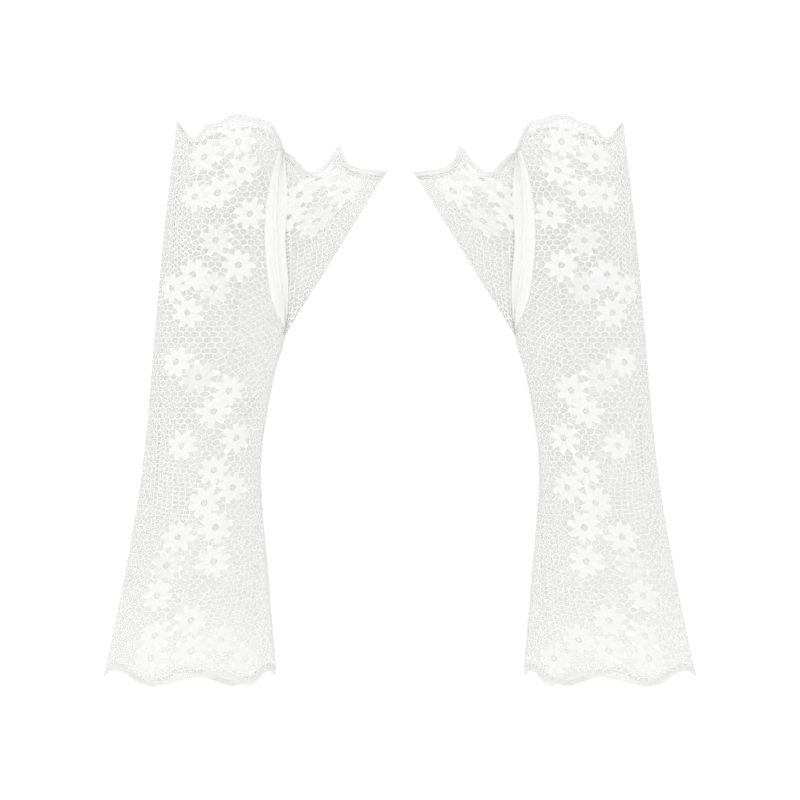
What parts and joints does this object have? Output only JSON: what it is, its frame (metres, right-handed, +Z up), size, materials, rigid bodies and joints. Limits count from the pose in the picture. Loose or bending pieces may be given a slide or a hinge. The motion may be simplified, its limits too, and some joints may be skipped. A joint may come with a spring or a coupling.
{
  "type": "fingerless lace gloves",
  "caption": "Pair of fingerless white lace wedding gloves: forearm-length flower lace sleeves with flared scalloped cuffs, open fingers and a sewn-in thumb.",
  "frame": {"origin": "the middle of the pair, at the level of the lowest scallop of the cuffs, which is where the wearer's two forearms are said to hold the gloves up", "axes": "+X from the left glove to the right glove, -Y on the backs of the hands, +Z up the arms to the fingers"},
  "size_m": [0.312, 0.0689, 0.3024],
  "materials": {
    "lace": "white stretch lace, a knitted net with dense flowers",
    "picot_border": "white corded border with small picot loops",
    "seam_thread": "bright white overlocked seam"
  },
  "bodies": {
    "left_glove": {"left_sleeve": "lace", "left_side_seam": "seam_thread", "left_thumb_seam": "seam_thread", "left_finger_edge": "picot_border", "left_cuff_edge": "picot_border"},
    "left_thumb": {"left_thumb_gusset": "lace", "left_thumb_edge": "picot_border"},
    "right_glove": {"right_sleeve": "lace", "right_side_seam": "seam_thread", "right_thumb_seam": "seam_thread", "right_finger_edge": "picot_border", "right_cuff_edge": "picot_border"},
    "right_thumb": {"right_thumb_gusset": "lace", "right_thumb_edge": "picot_border"}
  },
  "joints": [
    {"name": "pair_spread", "type": "slide", "parent": "left_glove", "child": "right_glove", "axis": [1, 0, 0], "range_m": [0, 0.12]},
    {"name": "left_thumb_swing", "type": "hinge", "parent": "left_glove", "child": "left_thumb", "pos_m": [-0.0605, 0, 0.185], "axis": [0, 1, 0], "range_deg": [0, 4.5], "stiffness_Nm_per_rad": 0.02, "springref_deg": -5.73},
    {"name": "right_thumb_swing", "type": "hinge", "parent": "right_glove", "child": "right_thumb", "pos_m": [0.0605, 0, 0.185], "axis": [0, -1, 0], "range_deg": [0, 4.5], "stiffness_Nm_per_rad": 0.02, "springref_deg": -5.73}
  ]
}
